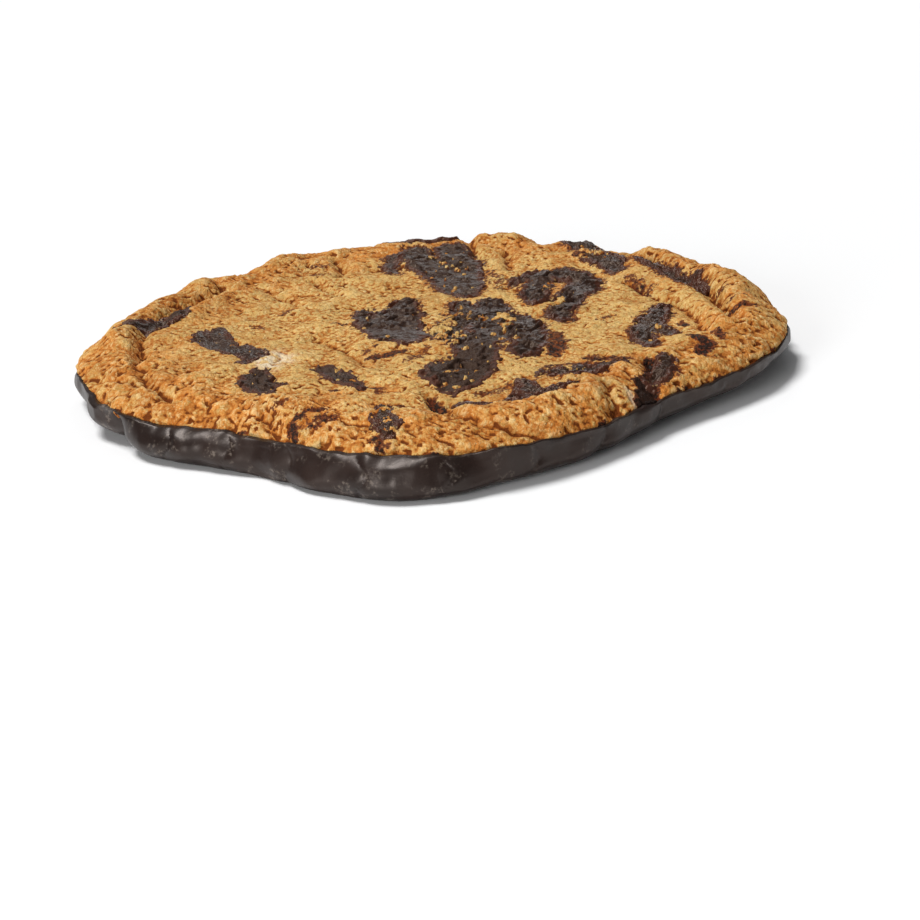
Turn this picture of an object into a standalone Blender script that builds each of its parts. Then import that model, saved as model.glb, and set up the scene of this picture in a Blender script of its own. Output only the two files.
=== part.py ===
"""A giant chocolate chunk cookie, baked flat and then dipped base down in dark chocolate.

The dough is one crisp disc with folds, creases and crags in its crust. Melted chunks lie in it as
pools flush with the crust, each a solid in its own hollow. The dip is a shallow dish of set
chocolate that runs under the whole cookie and up round its edge to an uneven lip.
Sizes are in millimetres and directions in degrees, anticlockwise from +X. The cookie lies on z = 0.
"""

import math

import bmesh
import bpy
import numpy as np

MM = 0.001

# Driving sizes
EDGE_RADIUS = 69.5
PLATEAU_HEIGHT = 10.4
RIM_RISE = 0.7
RIM_RISE_INSET = 9.0
RIM_RISE_WIDTH = 6.0
SHOULDER_WIDTH = 10.0
LIP_HEIGHT = 6.0
LIP_WAVE = 0.35
BELLY_SWELL = 1.0
BELLY_HEIGHT = 3.3
FOOT_INSET = 4.5
SIDE_TUCK = 4.0
DIP_FLOOR = 2.0
LIP_THICKNESS = 0.7
SIDE_GAP = 0.35
CHUNK_DEPTH = 2.0
CHUNK_STANDS_PROUD = 0.15
CHUNK_GAP = 0.4

# Mesh steps
DOUGH_RINGS = 25
DOUGH_SECTORS = 6 * DOUGH_RINGS
DIP_SECTORS = 120
CHUNK_GRID = 2.7

# Where the outline and the dip leave their rest sizes: (direction, half width, amount)
OUTLINE_LOBES = (
    (347, 11, 1.7),
    (330, 10, 0.5),
    (313, 22, -8.1),
    (272, 11, 1.3),
    (234, 19, -8.9),
    (198, 10, -0.6),
    (129, 5, -2.0),
    (112, 9, 3.5),
    (76, 8, 3.0),
    (50, 5, -3.0),
    (38, 8, 1.5),
    (12, 9, 1.9),
    (176, 10, 0.9),
)
LIP_LOBES = ((187, 15, 2.3), (210, 12, 1.2), (262, 35, 1.7), (352, 15, 1.2), (172, 13, -2.8), (12, 16, -2.2))
SWELL_LOBES = ((226, 12, 3.1), (244, 8, 1.6), (262, 12, 3.4), (280, 8, -1.2), (330, 16, -0.6))
BELLY_LOBES = ((190, 22, 3.0), (340, 30, 1.9), (172, 13, -1.9), (12, 16, -1.0))
FOOT_LOBES = (
    (184, 12, 5.0),
    (204, 12, 5.0),
    (222, 12, -0.5),
    (240, 10, -2.0),
    (262, 12, -1.9),
    (284, 12, 1.7),
    (302, 12, 1.6),
    (325, 18, 7.4),
    (352, 18, 12.5),
    (12, 16, 7.0),
)
TUCK_LOBES = ((352, 22, 10), (12, 16, 5))
DIP_CREASES = ((209, 2.2, 1.5), (297, 2.0, 0.7), (246, 2.5, 0.5))

# Folds in the crust: (height, half width, points that the crest runs through)
RIDGES = (
    (1.2, 3.8, ((5, -57.5), (12, -58.8), (19, -57.5), (25, -53.5), (29.5, -49))),
    (0.8, 2.6, ((49, 20), (53, 12), (55, 3), (55.5, -6), (56, -16))),
    (1.7, 6.0, ((49, 47), (56, 36), (61, 23), (64, 10), (64, -3), (62, -12))),
    (1.3, 6.0, ((-62, -14), (-64, -2), (-63, 12), (-58, 27), (-51, 40), (-42, 50), (-33, 56))),
    (1.6, 5.5, ((13, 65), (19, 65), (24, 61))),
    (1.1, 5.0, ((-33, 61), (-24, 65), (-14, 65))),
    (0.8, 3.4, ((-37, 38), (-43, 33), (-48, 26), (-50, 18))),
    (0.7, 3.0, ((-11, -46), (-5, -46), (-2, -49))),
    (0.8, 2.4, ((34.5, -50), (35.5, -56), (35, -61))),
    (0.8, 5.0, ((-28, -46), (-24, -46), (-18, -47))),
    (0.8, 4.0, ((38, 48), (42, 40), (45, 33), (47.5, 26))),
    (0.5, 5.0, ((22, 45), (27, 50), (28, 40))),
    (0.6, 6.0, ((-50, -8), (-47, -18), (-42, -26))),
    (1.0, 4.5, ((-65.5, 3), (-64, 12), (-60, 22), (-57, 30))),
    (0.8, 4.5, ((-50, 40), (-46, 44))),
    (0.9, 4.0, ((-7, 64), (3, 65))),
    (1.1, 4.0, ((31, 57), (36, 52))),
    (-1.7, 3.5, ((26, 60), (29, 57.5))),
    (-0.5, 3.5, ((40.5, 45.5), (43.5, 43))),
    (0.9, 5.0, ((61.5, 21), (65.5, 8))),
)
CREASES = (
    (1.0, 1.4, ((42, 22), (45.5, 12), (50.5, 4), (52.5, -6), (53.5, -18))),
    (1.6, 1.9, ((45, 45), (49.5, 34), (52, 25), (56, 16), (58, 5), (58.5, -6), (60, -14))),
    (1.3, 1.8, ((-43, 36), (-49, 29), (-54, 20), (-58, 9), (-58, 2), (-57, -6))),
    (1.0, 1.5, ((-57, -6), (-57.5, -13), (-55.5, -20), (-53, -27), (-48, -36))),
    (0.9, 1.4, ((-38, 40), (-33, 34), (-29, 27), (-26, 22))),
    (0.9, 1.3, ((-24, 40), (-21, 33), (-17.5, 27))),
    (1.0, 1.3, ((-20, 57), (-18, 49), (-18.5, 43))),
    (0.8, 1.2, ((-46, 43), (-43.5, 36))),
    (0.7, 1.4, ((3, -50.5), (9, -52.2), (13.2, -53), (16.5, -52.3), (19.5, -50.4), (24.5, -45.6), (28, -42))),
    (1.2, 1.6, ((2, -55), (6, -61), (13, -64.5), (21, -66))),
    (1.4, 1.2, ((31, -47), (32.5, -54), (32, -60))),
    (1.0, 1.3, ((-31, -48), (-28, -56), (-24, -61))),
    (0.8, 1.3, ((-66, -17), (-60, -21), (-55, -26), (-50, -33))),
    (0.6, 1.4, ((-22, -4), (-17, -12), (-14, -19), (-13, -23))),
    (1.0, 1.2, ((-1, -46), (0, -52), (3, -57))),
    (0.9, 1.3, ((18.5, 52), (18.5, 44), (18.5, 37))),
    (1.0, 1.3, ((10, 68), (11, 58), (12, 50))),
    (1.2, 1.4, ((40.5, -34), (40, -45))),
)
CRAGS = ((14.0, 0.35, 11), (7.0, 0.40, 12), (3.4, 0.15, 13))

# Pools of melted chunk: each a list of strokes, and a stroke is a chain of (x, y, radius)
CHUNKS = {
    "chunk_left_rim": (
        ((-62.2, 8.5, 1.1), (-60, 10, 1.8), (-57.5, 11.5, 2.0), (-54.5, 14.5, 2.0), (-52.2, 17.5, 2.0), (-50.6, 22, 1.1)),
    ),
    "chunk_left_stroke": (
        ((-46.3, 4, 1.3), (-45.5, 0, 2.0), (-42, -3.5, 2.7), (-38, -7.5, 2.9), (-34.5, -12.5, 2.5)),
        ((-42.8, 6, 1.9), (-42.5, 1, 1.9), (-40.5, -3, 2.2)),
        ((-34.5, -12.5, 2.5), (-36.3, -17, 1.3)),
    ),
    "chunk_left_foot": (
        ((-33, -22.5, 1.5), (-33, -26, 2.7), (-33, -30, 3.3), (-32.5, -34, 3.1), (-31, -37, 1.6)),
        ((-31, -33, 1.6), (-27.8, -33.3, 1.0)),
    ),
    "chunk_small_stroke": (
        ((-21.5, -23.5, 1.3), (-18.6, -27, 2.2), (-17.2, -30.5, 2.4), (-15, -34, 1.6), (-13.5, -38, 1.0)),
    ),
    "chunk_middle": (
        ((-4, 18, 1.8), (-5, 13, 3.2), (-6.5, 7, 5.2), (-7.5, 1, 6.0), (-7, -4.5, 5.0), (-5, -8.5, 3.4)),
        ((-12.5, 14, 1.2), (-13.2, 9, 1.8), (-12, 3, 2.6)),
        ((7, 13, 2.0), (7.5, 7, 3.4), (7, 1, 4.2), (3, -4, 3.8), (5, -10, 3.6), (9, -15, 3.8)),
        ((12.5, 12, 3.0), (13, 6, 4.0), (12, -1, 4.4), (13, -8, 4.6), (10, -15, 3.8)),
        ((16, 2, 3.0), (18.5, -5, 4.0), (19.6, -12, 3.4), (19.3, -18, 3.1), (17.6, -23, 2.5)),
        ((3, -4, 3.8), (-0.5, -6.5, 2.4)),
        ((9, -15, 3.8), (8, -26, 4.8), (6.5, -32, 5.2), (4.5, -38, 4.6), (3, -42, 2.6)),
        ((4, -23.5, 2.2), (1.5, -29, 2.6), (1, -34, 2.8)),
    ),
    "chunk_back_wedge": (
        ((-1.5, 57, 3.0), (-1, 51, 4.0), (2, 44, 4.4), (5, 36, 4.6), (6, 29, 4.2), (8, 24, 3.4), (8.4, 19, 2.0)),
        ((6.5, 58, 3.4), (7, 51, 4.2), (8.2, 44, 4.0), (8.4, 36, 3.6), (9, 28, 3.4)),
        ((-3, 55.5, 1.6), (-7.2, 54, 1.4), (-7.4, 48, 1.4), (-7, 43, 1.0)),
    ),
    "chunk_back_rim": (((-7.5, 65.5, 1.9), (-3.5, 65.2, 1.5), (1, 65.8, 1.7), (6.5, 66.2, 1.4)),),
    "chunk_right_top": (
        ((19, 26, 1.2), (21, 29, 1.6), (25, 31.5, 3.0), (30, 31, 3.2), (33.5, 26, 3.2), (33, 20, 3.4)),
        ((24.5, 29, 3.0), (23.5, 23, 2.7), (22.4, 17, 2.7), (22.6, 12, 2.3)),
        ((33, 20, 3.4), (30, 14, 3.2), (27.6, 7, 2.8), (26.6, 1, 2.5), (27, -2, 1.6)),
    ),
    "chunk_back_right": (
        ((33, 55.5, 1.6), (33.5, 52, 2.3), (36, 47.5, 2.8), (37.2, 41, 2.5), (40, 35.5, 2.9), (40.7, 31.5, 2.0)),
    ),
    "chunk_fold_right": (
        ((46.6, 36.5, 1.1), (48.8, 31.5, 1.7), (51, 25.5, 2.0), (53, 20, 2.1), (55, 15, 1.9), (56, 12, 1.1)),
        ((54.6, 16, 1.1), (56.4, 18.6, 1.0)),
    ),
    "chunk_right_leaf": (
        ((47, 0, 1.1), (45.6, -4, 2.3), (43.6, -9, 3.0), (42, -14.5, 2.5), (41, -20, 2.2), (41.8, -24, 1.2)),
        ((42.6, -13, 2.0), (45.8, -17.5, 1.6)),
    ),
    "chunk_front_streak": (
        ((20.6, -36.6, 1.3), (25, -37.4, 1.8), (30, -37, 1.8), (34.5, -35.8, 1.4)),
    ),
    "chunk_groove": (
        ((4.8, -51, 0.9), (9, -52.4, 1.2), (13.2, -53, 1.2), (16.5, -52.3, 1.3), (19.5, -50.4, 1.3), (24, -45.9, 1.1)),
        ((18.5, -50, 1.4), (17.2, -46, 1.8), (16.6, -43, 1.2)),
    ),
    "chunk_front_right": (
        ((39.5, -42.2, 1.2), (41.4, -40.4, 1.7), (43, -37.6, 1.8), (43.6, -34.5, 1.2)),
    ),
    "chunk_front_spot": (((-9, -51.5, 1.1), (-9.3, -56, 1.9), (-8.3, -60.5, 2.0), (-8.6, -64.5, 1.1)),),
}
CHUNK_RAGGED = ((3.2, 0.55, 31), (1.7, 0.25, 32))

DOUGH_COLOUR = (0.55, 0.30, 0.105, 1.0)
CHOCOLATE_COLOUR = (0.032, 0.018, 0.015, 1.0)


# Small helpers for noise and for sizes that change round the edge
def scatter(i, j, seed):
    """A repeatable number from 0 to 1 for each whole-number lattice point."""
    n = i * 374761393 + j * 668265263 + seed * 974634777
    n = (n ^ (n >> 13)) * 1274126177
    return ((n ^ (n >> 16)) & 0xFFFF) / 65536.0


def noise(x, y, cell, seed):
    """Smooth gradient noise from about -1 to 1, with bumps about one cell across."""
    u, v = x / cell, y / cell
    i, j = np.floor(u).astype(np.int64), np.floor(v).astype(np.int64)
    total = np.zeros_like(u)
    for di in (0, 1):
        for dj in (0, 1):
            turn = 2 * math.pi * scatter(i + di, j + dj, seed)
            du, dv = u - i - di, v - j - dj
            near = (1 - np.abs(du)) * (1 - np.abs(dv))
            weight = near * near * (3 - 2 * near)
            total += weight * (np.cos(turn) * du + np.sin(turn) * dv)
    return 2.0 * total


def around(direction, rest, lobes):
    """A size that is rest all round the edge, plus a smooth lobe at each listed direction."""
    size = np.full_like(direction, rest)
    for centre, half_width, amount in lobes:
        away = (direction - centre + 180) % 360 - 180
        size += amount * np.exp(-((away / half_width) ** 2))
    return size


def from_line(x, y, points):
    """Distance from a line through the given points."""
    nearest = np.full_like(x, 1e9)
    for (ax, ay), (bx, by) in zip(points, points[1:]):
        along = ((x - ax) * (bx - ax) + (y - ay) * (by - ay)) / ((bx - ax) ** 2 + (by - ay) ** 2)
        along = np.clip(along, 0, 1)
        gap = np.hypot(x - ax - along * (bx - ax), y - ay - along * (by - ay))
        nearest = np.minimum(nearest, gap)
    return nearest


# The outline and the crust
def edge_radius(direction):
    """Where the dough meets the lip of the dip."""
    return around(direction, EDGE_RADIUS, OUTLINE_LOBES)


def lip_height(direction):
    turn = np.radians(direction)
    wave = LIP_WAVE * noise(10 * np.cos(turn) + 40, 10 * np.sin(turn) + 40, 1.6, 5)
    return around(direction, LIP_HEIGHT, LIP_LOBES) + wave


def crust_height(x, y):
    """Height of the baked crust, from its lip over the shoulder to the folds on top."""
    direction = np.degrees(np.arctan2(y, x)) % 360
    radius, edge, lip = np.hypot(x, y), edge_radius(direction), lip_height(direction)
    top = PLATEAU_HEIGHT + RIM_RISE * np.exp(-(((edge - radius - RIM_RISE_INSET) / RIM_RISE_WIDTH) ** 2))
    for height, half_width, points in RIDGES:
        top += height * np.exp(-((from_line(x, y, points) / half_width) ** 2))
    for depth, half_width, points in CREASES:
        top -= depth * np.exp(-((from_line(x, y, points) / half_width) ** 2))
    for cell, height, seed in CRAGS:
        top += height * noise(x, y, cell, seed)
    outward = np.clip((radius - edge + SHOULDER_WIDTH) / SHOULDER_WIDTH, 0, 1)
    return lip + (top - lip) * np.sqrt(1 - outward**2)


def outline_middle():
    """The middle of the dip's outline, which becomes the origin."""
    direction = np.arange(DIP_SECTORS) * 360.0 / DIP_SECTORS
    radius = belly_radius(direction)
    x, y = radius * np.cos(np.radians(direction)), radius * np.sin(np.radians(direction))
    return (x.min() + x.max()) / 2, (y.min() + y.max()) / 2


def belly_radius(direction):
    """The widest reach of the dip: soft bulges, with a few creases where it set in folds."""
    turn = np.radians(direction)
    bulge = 0.45 * noise(22 * np.cos(turn) + 90, 22 * np.sin(turn) + 90, 4.0, 7)
    radius = edge_radius(direction) + around(direction, BELLY_SWELL, SWELL_LOBES) + bulge
    for centre, half_width, depth in DIP_CREASES:
        radius = around(direction, 0, ((centre, half_width, -depth),)) + radius
    return radius


def solid(name, points, faces, colour):
    """One closed mesh object from points in millimetres about the middle of the cookie."""
    middle_x, middle_y = outline_middle()
    mesh = bpy.data.meshes.new(name)
    placed = [((x - middle_x) * MM, (y - middle_y) * MM, z * MM) for x, y, z in points]
    mesh.from_pydata(placed, [], faces)
    mesh.validate()
    obj = bpy.data.objects.new(name, mesh)
    bpy.context.scene.collection.objects.link(obj)
    material = bpy.data.materials.get(colour[0]) or bpy.data.materials.new(colour[0])
    material.use_nodes = True
    shader = material.node_tree.nodes["Principled BSDF"]
    shader.inputs["Base Color"].default_value = colour[1]
    shader.inputs["Roughness"].default_value = colour[2]
    shader.inputs["Metallic"].default_value = 0.0
    mesh.materials.append(material)
    mesh.shade_smooth()
    return obj


BAKED = ("baked_dough", DOUGH_COLOUR, 0.8)
CHOCOLATE = ("dark_chocolate", CHOCOLATE_COLOUR, 0.4)


# The dough: rings of points over the crust, then down its side to a flat underside
def dough_rings():
    """Ring k holds 6k points, so the triangles stay even from the middle to the edge."""
    rings = []
    for k in range(DOUGH_RINGS + 1):
        count = max(1, 6 * k)
        direction = np.arange(count) * 360.0 / count
        share = 1 - (1 - k / DOUGH_RINGS) ** 1.15
        radius = edge_radius(direction) * share
        x, y = radius * np.cos(np.radians(direction)), radius * np.sin(np.radians(direction))
        rings.append(np.column_stack([x, y, crust_height(x, y)]))
    return rings


def ring_faces(inner_start, inner_count, outer_start, outer_count):
    """Triangles between two rings whose counts differ by six."""
    if inner_count == 1:
        return [(inner_start, outer_start + j, outer_start + (j + 1) % outer_count) for j in range(outer_count)]
    faces = []
    i = 0
    for j in range(outer_count):
        a, b = outer_start + j, outer_start + (j + 1) % outer_count
        faces.append((inner_start + i % inner_count, a, b))
        if (i + 1) * outer_count <= (j + 1) * inner_count:
            faces.append((inner_start + i % inner_count, b, inner_start + (i + 1) % inner_count))
            i += 1
    return faces


def side_radius(direction, height):
    """The dough's side inside the dip: upright near the lip, drawn in at the base."""
    low = np.clip(1 - height / lip_height(direction), 0, 1)
    return edge_radius(direction) - around(direction, SIDE_TUCK, TUCK_LOBES) * low**2


def add_band(points, faces, ring):
    """Joins one more ring to the last ring of the list, which has as many points."""
    start, count = len(points), len(ring)
    points.extend(map(tuple, ring))
    for j in range(count):
        k = (j + 1) % count
        faces.append((start - count + j, start + j, start + k, start - count + k))


def ring_at(direction, radius, height):
    turn = np.radians(direction)
    return np.column_stack([radius * np.cos(turn), radius * np.sin(turn), height])


def make_dough():
    points, faces = [], []
    start, count = 0, 1
    for ring in dough_rings():
        if points:
            faces += ring_faces(start, count, len(points), len(ring))
            start, count = len(points), len(ring)
        points.extend(map(tuple, ring))
    direction = np.arange(DOUGH_SECTORS) * 360.0 / DOUGH_SECTORS
    underside = DIP_FLOOR + SIDE_GAP
    lip = lip_height(direction)
    for share in (0.66, 0.33, 0.0):
        height = underside + (lip - underside) * share
        add_band(points, faces, ring_at(direction, side_radius(direction, height), height))
    faces.append(tuple(reversed(range(len(points) - DOUGH_SECTORS, len(points)))))
    return solid("dough", points, faces, BAKED)


# The dip: a shallow dish of chocolate, from its floor up the inside to the lip, then down the outside
def make_dip():
    direction = np.arange(DIP_SECTORS) * 360.0 / DIP_SECTORS
    edge, lip, belly = edge_radius(direction), lip_height(direction), belly_radius(direction)
    waist = around(direction, BELLY_HEIGHT, BELLY_LOBES)
    inset = around(direction, FOOT_INSET, FOOT_LOBES)
    lip_outside = edge + SIDE_GAP + LIP_THICKNESS
    points = list(map(tuple, ring_at(direction, side_radius(direction, 2.35) + SIDE_GAP, 0 * lip + DIP_FLOOR)))
    faces = [tuple(range(DIP_SECTORS))]
    for share in (0.33, 0.66):
        height = DIP_FLOOR + SIDE_GAP + (lip - DIP_FLOOR - SIDE_GAP) * share
        inside = ring_at(direction, side_radius(direction, height) + SIDE_GAP, height - SIDE_GAP)
        add_band(points, faces, inside)
    inner_top = lip - 0.1
    add_band(points, faces, ring_at(direction, side_radius(direction, inner_top) + SIDE_GAP, inner_top))
    for share in (1.0, 0.75, 0.4):
        over = lip_outside + (belly - lip_outside) * np.sqrt(1 - share**2)
        add_band(points, faces, ring_at(direction, over, waist + (lip - waist) * share))
    for turn in (90, 60, 30, 0):
        out, up = math.sin(math.radians(turn)), 1 - math.cos(math.radians(turn))
        add_band(points, faces, ring_at(direction, belly - inset * (1 - out), waist * up))
    faces.append(tuple(reversed(range(len(points) - DIP_SECTORS, len(points)))))
    return solid("chocolate_dip", points, faces, CHOCOLATE)


# The chunks: pools of melted chocolate in hollows that are cut for them
def pool_depth(x, y, strokes):
    """Above 0 inside the pool: how far inside its ragged shore a point lies."""
    inside = np.full_like(x, -1e9)
    for stroke in strokes:
        for (ax, ay, ar), (bx, by, br) in zip(stroke, stroke[1:]):
            along = ((x - ax) * (bx - ax) + (y - ay) * (by - ay)) / ((bx - ax) ** 2 + (by - ay) ** 2)
            along = np.clip(along, 0, 1)
            gap = np.hypot(x - ax - along * (bx - ax), y - ay - along * (by - ay))
            inside = np.maximum(inside, ar + along * (br - ar) - gap)
    for cell, amount, seed in CHUNK_RAGGED:
        inside += amount * noise(x, y, cell, seed)
    return inside


def pool_plan(strokes):
    """A bmesh grid over the pool, cut off at its shore: flat faces, with the depth kept as z."""
    reach = 2.0
    discs = [disc for stroke in strokes for disc in stroke]
    low = [min(d[axis] - d[2] for d in discs) - reach for axis in (0, 1)]
    high = [max(d[axis] + d[2] for d in discs) + reach for axis in (0, 1)]
    xs = np.arange(low[0], high[0] + CHUNK_GRID, CHUNK_GRID)
    ys = np.arange(low[1], high[1] + CHUNK_GRID, CHUNK_GRID)
    plan = bmesh.new()
    grid = []
    for y in ys:
        depth = pool_depth(xs, np.full_like(xs, y), strokes)
        grid.append([plan.verts.new((x, y, d)) for x, d in zip(xs, depth)])
    for row, above in zip(grid, grid[1:]):
        for i in range(len(xs) - 1):
            plan.faces.new((row[i], row[i + 1], above[i]))
            plan.faces.new((row[i + 1], above[i + 1], above[i]))
    everything = plan.verts[:] + plan.edges[:] + plan.faces[:]
    bmesh.ops.bisect_plane(plan, geom=everything, plane_co=(0, 0, 0), plane_no=(0, 0, 1), clear_inner=True)
    bmesh.ops.remove_doubles(plan, verts=plan.verts[:], dist=0.25 * CHUNK_GRID)
    pinched = True
    while pinched:
        pinched = [v for v in plan.verts if sum(len(e.link_faces) == 1 for e in v.link_edges) > 2]
        bmesh.ops.delete(plan, geom=pinched, context="VERTS")
    keep_largest(plan)
    return plan


def keep_largest(plan):
    """Drops the small islands, so that a pool is one body."""
    unseen, islands = set(plan.verts), []
    while unseen:
        island, edge = set(), {unseen.pop()}
        while edge:
            vert = edge.pop()
            island.add(vert)
            found = {e.other_vert(vert) for e in vert.link_edges} & unseen
            unseen -= found
            edge |= found
        islands.append(island)
    largest = max(islands, key=len)
    loose = [v for island in islands if island is not largest for v in island]
    bmesh.ops.delete(plan, geom=loose, context="VERTS")


def spread(plan, gap):
    """Where each point of the plan goes when the shore moves outward by the gap."""
    xy = np.array([v.co[:2] for v in plan.verts])
    outward = np.zeros_like(xy)
    for edge in plan.edges:
        if len(edge.link_faces) == 1:
            loop = edge.link_loops[0]
            a, b = loop.vert.index, loop.link_loop_next.vert.index
            along = xy[b] - xy[a]
            normal = np.array((along[1], -along[0])) / np.hypot(*along)
            outward[a] += normal
            outward[b] += normal
    size = np.maximum((outward**2).sum(axis=1), 0.8)
    return xy + gap * 2 * outward / size[:, None]


def pool_solid(name, strokes, grown, above, floor):
    """The plan made solid: its top follows the crust and its underside is level."""
    plan = pool_plan(strokes)
    plan.verts.ensure_lookup_table()
    plan.verts.index_update()
    xy = spread(plan, grown)
    crust = crust_height(xy[:, 0], xy[:, 1])
    count = len(xy)
    tops = [(x, y, z + above) for (x, y), z in zip(xy, crust)]
    bottoms = [(x, y, floor) for x, y in xy]
    faces = []
    for face in plan.faces:
        corners = [v.index for v in face.verts]
        faces.append(tuple(corners))
        faces.append(tuple(count + i for i in reversed(corners)))
    for edge in plan.edges:
        if len(edge.link_faces) == 1:
            loop = edge.link_loops[0]
            a, b = loop.vert.index, loop.link_loop_next.vert.index
            faces.append((b, a, count + a, count + b))
    plan.free()
    return solid(name, tops + bottoms, faces, CHOCOLATE)


def pool_floor(strokes):
    """The level underside of a pool, CHUNK_DEPTH below the lowest crust along its strokes."""
    discs = np.array([disc for stroke in strokes for disc in stroke], float)
    return float(crust_height(discs[:, 0], discs[:, 1]).min()) - CHUNK_DEPTH


def make_chunks(dough):
    hollows = bpy.data.collections.new("hollows")
    bpy.context.scene.collection.children.link(hollows)
    for name, strokes in CHUNKS.items():
        floor = pool_floor(strokes)
        pool_solid(name, strokes, 0.0, CHUNK_STANDS_PROUD, floor)
        cutter = pool_solid("hollow_" + name, strokes, CHUNK_GAP, 2.5, floor - CHUNK_GAP)
        cutter.hide_render = True
        cutter.display_type = "WIRE"
        bpy.context.scene.collection.objects.unlink(cutter)
        hollows.objects.link(cutter)
    cut = dough.modifiers.new("hollows", "BOOLEAN")
    cut.operation = "DIFFERENCE"
    cut.operand_type = "COLLECTION"
    cut.collection = hollows
    cut.solver = "EXACT"


def main():
    for obj in list(bpy.data.objects):
        bpy.data.objects.remove(obj)
    dough = make_dough()
    make_dip()
    make_chunks(dough)


main()
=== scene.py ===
import math

import bpy
import numpy as np
from mathutils import Matrix, Vector


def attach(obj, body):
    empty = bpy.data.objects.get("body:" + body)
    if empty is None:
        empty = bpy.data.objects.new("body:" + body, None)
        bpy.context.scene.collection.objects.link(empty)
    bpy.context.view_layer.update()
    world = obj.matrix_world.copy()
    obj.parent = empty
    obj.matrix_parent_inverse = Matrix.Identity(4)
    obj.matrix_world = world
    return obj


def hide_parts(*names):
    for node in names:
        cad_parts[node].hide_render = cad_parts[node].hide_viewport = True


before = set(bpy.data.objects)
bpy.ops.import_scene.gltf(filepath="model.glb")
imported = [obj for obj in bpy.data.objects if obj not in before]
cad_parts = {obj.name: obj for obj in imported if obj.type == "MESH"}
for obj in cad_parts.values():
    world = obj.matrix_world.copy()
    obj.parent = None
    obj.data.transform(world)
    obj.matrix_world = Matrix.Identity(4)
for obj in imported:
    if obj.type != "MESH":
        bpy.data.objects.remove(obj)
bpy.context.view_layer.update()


# The dough
# A disc of crisp brown-sugar dough that spread, folded and cracked as it baked: blond and fairly
# smooth in the middle, orange and crumbly towards the rim. Everything else lies in it or round it.
# Lengths are in millimetres and directions in degrees, anticlockwise from +X.
MM = 0.001
EDGE_RADIUS = 69.5
PLATEAU_HEIGHT = 10.4
RIM_RISE = 0.7
RIM_RISE_INSET = 9.0
RIM_RISE_WIDTH = 6.0
SHOULDER_WIDTH = 10.0
LIP_HEIGHT = 6.0
LIP_WAVE = 0.35
# Lobes of the outline and of the lip, as (direction, half width in degrees, amount)
OUTLINE_LOBES = (
    (347, 11, 1.7),
    (330, 10, 0.5),
    (313, 22, -8.1),
    (272, 11, 1.3),
    (234, 19, -8.9),
    (198, 10, -0.6),
    (129, 5, -2.0),
    (112, 9, 3.5),
    (76, 8, 3.0),
    (50, 5, -3.0),
    (38, 8, 1.5),
    (12, 9, 1.9),
    (176, 10, 0.9),
)
LIP_LOBES = (
    (187, 15, 2.3),
    (210, 12, 1.2),
    (262, 35, 1.7),
    (352, 15, 1.2),
    (172, 13, -2.8),
    (12, 16, -2.2),
)
# How far the dip swells past the dough's edge, and where it is creased
BELLY_SWELL = 1.0
SWELL_LOBES = ((226, 12, 3.1), (244, 8, 1.6), (262, 12, 3.4), (280, 8, -1.2), (330, 16, -0.6))
DIP_CREASES = ((209, 2.2, 1.5), (297, 2.0, 0.7), (246, 2.5, 0.5))
# Folds that stand up and creases that sink: (height or depth, half width, points of x, y)
RIDGES = (
    (1.2, 3.8, ((5, -57.5), (12, -58.8), (19, -57.5), (25, -53.5), (29.5, -49))),
    (0.8, 2.6, ((49, 20), (53, 12), (55, 3), (55.5, -6), (56, -16))),
    (1.7, 6.0, ((49, 47), (56, 36), (61, 23), (64, 10), (64, -3), (62, -12))),
    (1.3, 6.0, ((-62, -14), (-64, -2), (-63, 12), (-58, 27), (-51, 40), (-42, 50), (-33, 56))),
    (1.6, 5.5, ((13, 65), (19, 65), (24, 61))),
    (1.1, 5.0, ((-33, 61), (-24, 65), (-14, 65))),
    (0.8, 3.4, ((-37, 38), (-43, 33), (-48, 26), (-50, 18))),
    (0.7, 3.0, ((-11, -46), (-5, -46), (-2, -49))),
    (0.8, 2.4, ((34.5, -50), (35.5, -56), (35, -61))),
    (0.8, 5.0, ((-28, -46), (-24, -46), (-18, -47))),
    (0.8, 4.0, ((38, 48), (42, 40), (45, 33), (47.5, 26))),
    (0.5, 5.0, ((22, 45), (27, 50), (28, 40))),
    (0.6, 6.0, ((-50, -8), (-47, -18), (-42, -26))),
    (1.0, 4.5, ((-65.5, 3), (-64, 12), (-60, 22), (-57, 30))),
    (0.8, 4.5, ((-50, 40), (-46, 44))),
    (0.9, 4.0, ((-7, 64), (3, 65))),
    (1.1, 4.0, ((31, 57), (36, 52))),
    (-1.7, 3.5, ((26, 60), (29, 57.5))),
    (-0.5, 3.5, ((40.5, 45.5), (43.5, 43))),
    (0.9, 5.0, ((61.5, 21), (65.5, 8))),
)
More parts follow.
